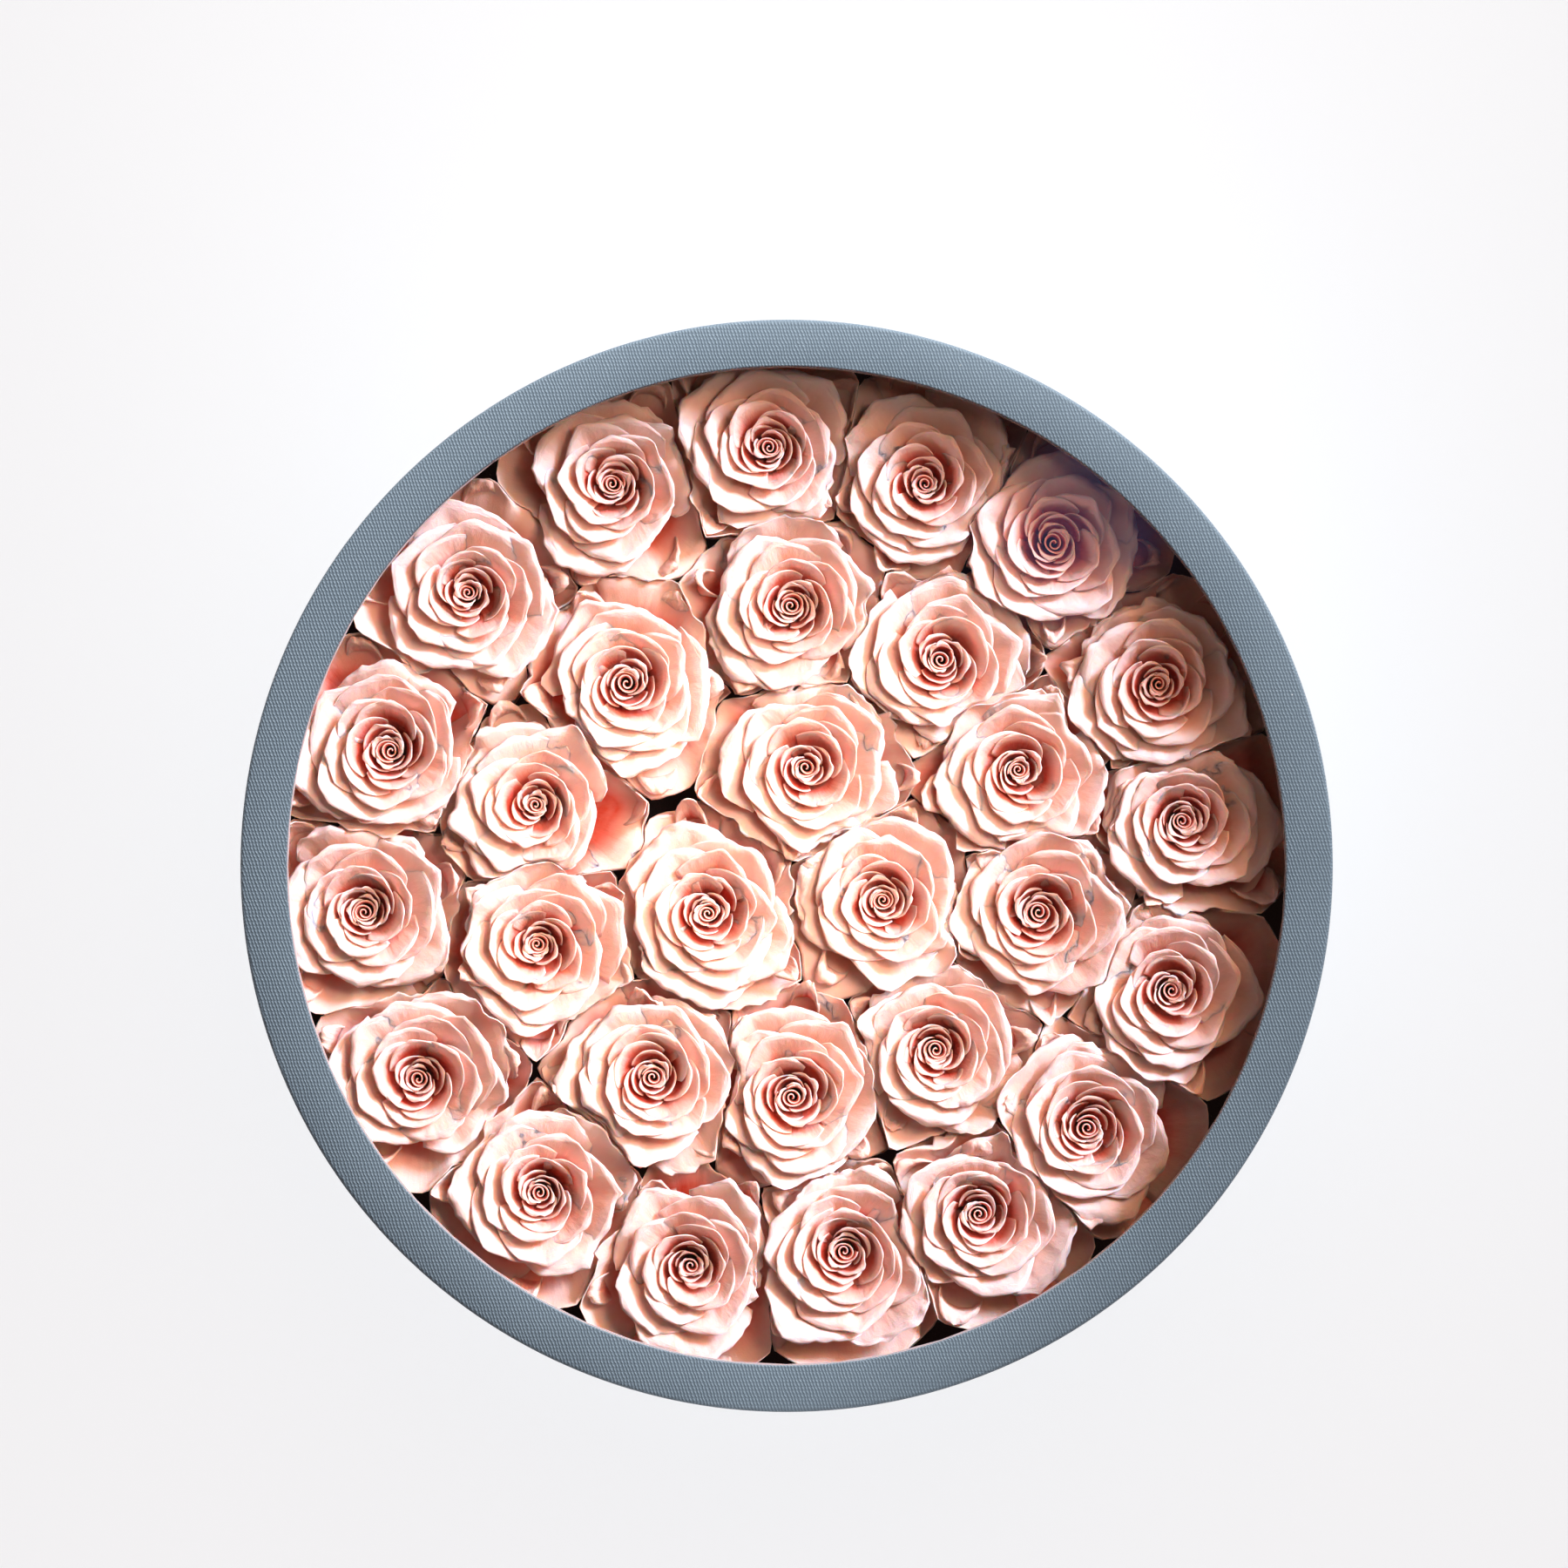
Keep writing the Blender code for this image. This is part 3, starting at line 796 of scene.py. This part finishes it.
def plan_petals(bloom, chance):
    """Every petal of a bloom from its heart outwards, then the guard petals below them."""
    recess = chance.uniform(-1, 1.5)
    openness = chance.uniform(0.97, 1.03)
    well = chance.uniform(0, LARGEST_WELL)
    turn = chance.choice((-1, 1))
    petals = []
    for number in range(PETALS):
        angle = bloom.first_angle + turn * number * GOLDEN_ANGLE + chance.uniform(-0.2, 0.2)
        petals.append(plan_petal(bloom, chance, number / (PETALS - 1), angle, turn, recess, openness, well))
    for number in range(GUARD_PETALS):
        low = number / (GUARD_PETALS - 1)
        sink = GUARD_SINK[0] + (GUARD_SINK[1] - GUARD_SINK[0]) * low
        angle = bloom.first_angle + turn * (PETALS + number) * GOLDEN_ANGLE + chance.uniform(-0.2, 0.2)
        petal = plan_petal(bloom, chance, 1, angle, turn, 0, 1, 0)
        petals.append(
            petal._replace(
                radius=chance.uniform(*GUARD_RADIUS) * MM,
                height=bloom.height - (sink + chance.uniform(-1, 1)) * MM,
                half_span=math.radians(chance.uniform(*GUARD_HALF_SPAN)),
                flat=0.35,
                tuck=0.07,
                spiral=0.03 * turn,
                lean=chance.uniform(*GUARD_LEAN),
                curl=chance.uniform(*GUARD_CURL),
                lip=chance.uniform(*GUARD_LIP) * MM,
                crinkle=chance.uniform(*GUARD_CRINKLE) * MM,
                columns=26,
                rows=8,
                fill=1.0,
                shade=GUARD_SHADE[0] + (GUARD_SHADE[1] - GUARD_SHADE[0]) * low,
            )
        )
    for corner in corner_angles(bloom):
        angle = corner + chance.uniform(-0.15, 0.15)
        petal = plan_petal(bloom, chance, 1, angle, turn, 0, 1, 0)
        sink = chance.uniform(*RUFFLE_SINK) * MM
        radius = room_towards(bloom, angle, bloom.height - sink)[0] - chance.uniform(*RUFFLE_INSET) * MM
        petals.append(
            petal._replace(
                radius=radius,
                height=bloom.height - sink,
                foot_radius=radius - RUFFLE_FOOT_INSET,
                foot_height=bloom.height - sink - RUFFLE_DEPTH,
                half_span=chance.uniform(*RUFFLE_HALF_WIDTH) * MM / radius,
                lean=chance.uniform(*RUFFLE_LEAN),
                curl=chance.uniform(*RUFFLE_CURL),
                lip=chance.uniform(*RUFFLE_LIP) * MM,
                drop=chance.uniform(*RUFFLE_DROP) * MM,
                plunge=chance.uniform(*RUFFLE_PLUNGE) * MM,
                crinkle=chance.uniform(*RUFFLE_CRINKLE) * MM,
                notch=chance.uniform(*RUFFLE_NOTCH) * MM,
                columns=14,
                rows=9,
                shade=RUFFLE_SHADE,
            )
        )
    return petals


def add_bloom(number, name, bloom, skin):
    chance = random.Random(1000 + number)
    bm = bmesh.new()
    bm.loops.layers.uv.new("petal")
    layers = [bm.verts.layers.float.new(name) for name in ("depth", "tone", "age")]
    petals = plan_petals(bloom, chance)
    grow_core(bm, bloom, petals[0].height + 0.3 * MM, layers, chance)
    for petal in petals:
        grow_petal(bm, bloom, petal, layers)
    piece = add_piece(f"bloom_{number:02d}", bm, [skin], [name], math.pi)
    thick = piece.modifiers.new("petal_thickness", "SOLIDIFY")
    thick.thickness = PETAL_THICKNESS
    thick.offset = 0
    thick.use_even_offset = False


def add_calyx(number, name, bloom, green):
    """The green cup and stem below a bloom."""
    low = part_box(name)[0].z
    bm = bmesh.new()
    outline = [
        (0, low),
        (STEM_RADIUS, low),
        (STEM_RADIUS, bloom.foot + 0.4 * MM),
        (4.6 * MM, bloom.foot + 1.6 * MM),
        (5.2 * MM, bloom.foot + 4.5 * MM),
        (3.4 * MM, bloom.foot + 6.5 * MM),
        (0, bloom.foot + 7 * MM),
    ]
    corners = [bm.verts.new((radius, 0, height)) for radius, height in outline]
    edges = [bm.edges.new(pair) for pair in zip(corners, corners[1:])]
    bmesh.ops.spin(
        bm, geom=corners + edges, cent=(0, 0, 0), axis=(0, 0, 1), angle=math.tau, steps=14, use_merge=True
    )
    bmesh.ops.remove_doubles(bm, verts=bm.verts, dist=0.01 * MM)
    bmesh.ops.translate(bm, verts=bm.verts, vec=(*bloom.spot, 0))
    bmesh.ops.recalc_face_normals(bm, faces=bm.faces)
    add_piece(f"calyx_{number:02d}", bm, [green], [name], math.radians(60))


def add_roses(wall):
    skin, green = petal_skin(), green_skin()
    names = sorted(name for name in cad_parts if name.startswith("rose_"))
    spots = rose_spots(names)
    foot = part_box("foam_block")[1].z
    for index, name in enumerate(names):
        number = index + 1
        same_draw = random.Random(number)
        height = BLOOM_HEIGHT * same_draw.uniform(*BLOOM_HEIGHTS)
        first_angle = same_draw.uniform(0, math.tau)
        tilt = Vector((same_draw.uniform(-1, 1), same_draw.uniform(-1, 1))) * LARGEST_TILT
        rooms = [room_around(spots, index, wall, level) for level in (-1, 1)]
        heart_shift = Vector((same_draw.uniform(-1, 1), same_draw.uniform(-1, 1))) * HEART_SHIFT
        heart = same_draw.uniform(*HEART_SIZES)
        sides = same_draw.choice((5, 6, 6, 7))
        folds = [math.tau * (side + same_draw.uniform(-0.22, 0.22)) / sides for side in range(sides)]
        twist = same_draw.uniform(-1.6, 1.6)
        bloom = Bloom(spots[index], foot, height, tilt, rooms, first_angle, heart, heart_shift, folds, twist)
        add_bloom(number, name, bloom, skin)
        add_calyx(number, name, bloom, green)


# Stage


def add_sun(name, azimuth, down_from_axis, energy, colour, size, receivers, casts_shadow=True):
    """A sun, this many degrees round from +X and from straight up, that lights one collection."""
    around, off = math.radians(azimuth), math.radians(down_from_axis)
    towards = Vector((math.sin(off) * math.cos(around), math.sin(off) * math.sin(around), math.cos(off)))
    light = bpy.data.lights.new(name, "SUN")
    light.energy = energy
    light.color = colour
    light.angle = math.radians(size)
    light.use_shadow = casts_shadow
    lamp = bpy.data.objects.new(name, light)
    lamp.rotation_mode = "QUATERNION"
    lamp.rotation_quaternion = towards.to_track_quat("Z", "Y")
    bpy.context.scene.collection.objects.link(lamp)
    lamp.light_linking.receiver_collection = receivers


def add_softbox(name, place, target, size, energy, colour, receivers, casts_shadow=True, spread=180):
    """A square light at a place, turned to a target, that lights one collection.

    spread is the angle of its beam in degrees.
    """
    light = bpy.data.lights.new(name, "AREA")
    light.shape = "SQUARE"
    light.size = size
    light.spread = math.radians(spread)
    light.energy = energy
    light.color = colour
    light.use_shadow = casts_shadow
    lamp = bpy.data.objects.new(name, light)
    lamp.location = place
    lamp.rotation_mode = "QUATERNION"
    lamp.rotation_quaternion = (Vector(place) - Vector(target)).to_track_quat("Z", "Y")
    bpy.context.scene.collection.objects.link(lamp)
    lamp.light_linking.receiver_collection = receivers


def add_stage():
    """The pale floor. Its colour undoes the warm tint of the room's light."""
    floor_material, tree, shader = new_material("pale_floor")
    shader.inputs["Base Color"].default_value = (0.885, 0.9, 0.908, 1)
    shader.inputs["Roughness"].default_value = 0.9
    shader.inputs["Specular IOR Level"].default_value = 0.1
    bm = bmesh.new()
    bmesh.ops.create_grid(bm, x_segments=4, y_segments=4, size=6)
    mesh = bpy.data.meshes.new("floor")
    bm.to_mesh(mesh)
    bm.free()
    mesh.materials.append(floor_material)
    floor = bpy.data.objects.new("floor", mesh)
    bpy.context.scene.collection.objects.link(floor)
    return floor


def group(name, pieces):
    """A collection that lights can be linked to."""
    collection = bpy.data.collections.new(name)
    for piece in pieces:
        collection.objects.link(piece)
    return collection


def add_lights(floor):
    """Lights for the roses, the paper, the floor and the window, each apart from the others."""
    pieces = [piece for piece in bpy.data.objects if piece.type == "MESH" and piece != floor]
    paper_names = ("lid", "box_wall", "box_floor")
    no_flowers = (*paper_names, "window_pane")
    flowers = group("flowers", [piece for piece in pieces if piece.name not in no_flowers])
    papers = group("papers", [piece for piece in pieces if piece.name in paper_names])
    ground = group("ground", [floor])
    pane = group("pane", [piece for piece in pieces if piece.name == "window_pane"])
    add_sun("key", 36, 57, 4.3, (0.72, 1.0, 1.4), 14, flowers)
    add_sun("warm_fill", 38, 56, 5.1, (1.0, 0.42, 0.22), 46, flowers)
    add_softbox(
        "warm_pool", (0.12, 0.1, 0.46), (-0.03, 0, 0.09), 0.17, 0.18, (1.0, 0.62, 0.5), flowers, spread=38
    )
    add_sun("paper_light", 40, 52, 1.8, WHITE, 9, papers)
    add_sun("paper_edge", 60, 80, 2.2, WHITE, 10, papers)
    add_softbox("paper_top", (0.03, 0.45, 0.51), (0, 0.1, 0.11), 0.25, 2.3, WHITE, papers)
    add_softbox("paper_foot", (0, -0.25, 0.17), (0, -0.17, 0.11), 0.08, 0.04, WHITE, papers)
    add_softbox("pane_haze", (0.145, 0.152, 1.11), (0.09, 0.105, 0.11), 0.07, 0.012, (0.35, 0.4, 1.0), pane)
    add_sun("floor_even", 90, 0, 2.74, (1.0, 1.0, 1.01), 10, ground, False)
    add_sun("floor_soft", 80, 40, 0.14, (1.0, 1.0, 1.01), 50, ground)
    add_softbox("floor_foot", (0, -0.42, 0.5), (0, -0.3, 0), 0.5, 0.12, WHITE, ground, False)
    glow = (1.0, 1.0, 0.98)
    add_softbox("floor_glow", (0.01, 0.28, 0.25), (0.01, 0.28, 0), 0.36, 0.16, glow, ground, False)
    world = bpy.data.worlds.new("studio")
    world.use_nodes = True
    background = world.node_tree.nodes["Background"]
    background.inputs[0].default_value = (1.0, 0.5, 0.4, 1)
    background.inputs[1].default_value = 0.07
    bpy.context.scene.world = world


def add_camera():
    """A camera straight above, with the lid where the photograph has it."""
    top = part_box("lid_frame")[1]
    metres_per_pixel = 2 * top.x / LID_DIAMETER_PX
    camera = bpy.data.cameras.new("camera")
    camera.sensor_width = SENSOR_WIDTH
    camera.lens = SENSOR_WIDTH * CAMERA_HEIGHT / (PHOTO_SIZE * metres_per_pixel)
    camera.clip_end = 50
    view = bpy.data.objects.new("camera", camera)
    view.location = (
        (PHOTO_SIZE / 2 - LID_CENTRE_PX[0]) * metres_per_pixel,
        (LID_CENTRE_PX[1] - PHOTO_SIZE / 2) * metres_per_pixel,
        top.z + CAMERA_HEIGHT,
    )
    bpy.context.scene.collection.objects.link(view)
    bpy.context.scene.camera = view


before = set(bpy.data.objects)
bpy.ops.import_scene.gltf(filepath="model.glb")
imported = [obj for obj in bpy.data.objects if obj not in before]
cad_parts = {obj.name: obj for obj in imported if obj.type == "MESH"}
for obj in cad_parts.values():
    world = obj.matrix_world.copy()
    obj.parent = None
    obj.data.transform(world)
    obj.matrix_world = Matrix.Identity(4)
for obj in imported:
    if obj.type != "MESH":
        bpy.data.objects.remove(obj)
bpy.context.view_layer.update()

paper = embossed_paper()
black = dusty_black("black_card", 700, 0.1 * MM)
foam_black = dusty_black("black_foam", 1400, 0.5 * MM)
add_lid(paper, board("cut_board", (0.42, 0.46, 0.49), 0.8))
add_window(clear_sheet())
lining_inside = add_body(paper, black)
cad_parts["foam_block"].data.materials.clear()
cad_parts["foam_block"].data.materials.append(foam_black)
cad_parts["window_ring"].data.materials.clear()
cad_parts["window_ring"].data.materials.append(board("grey_board", (0.55, 0.55, 0.54), 0.85))
add_roses(lining_inside)

add_lights(add_stage())
add_camera()
scene = bpy.context.scene
scene.view_settings.view_transform = "Standard"
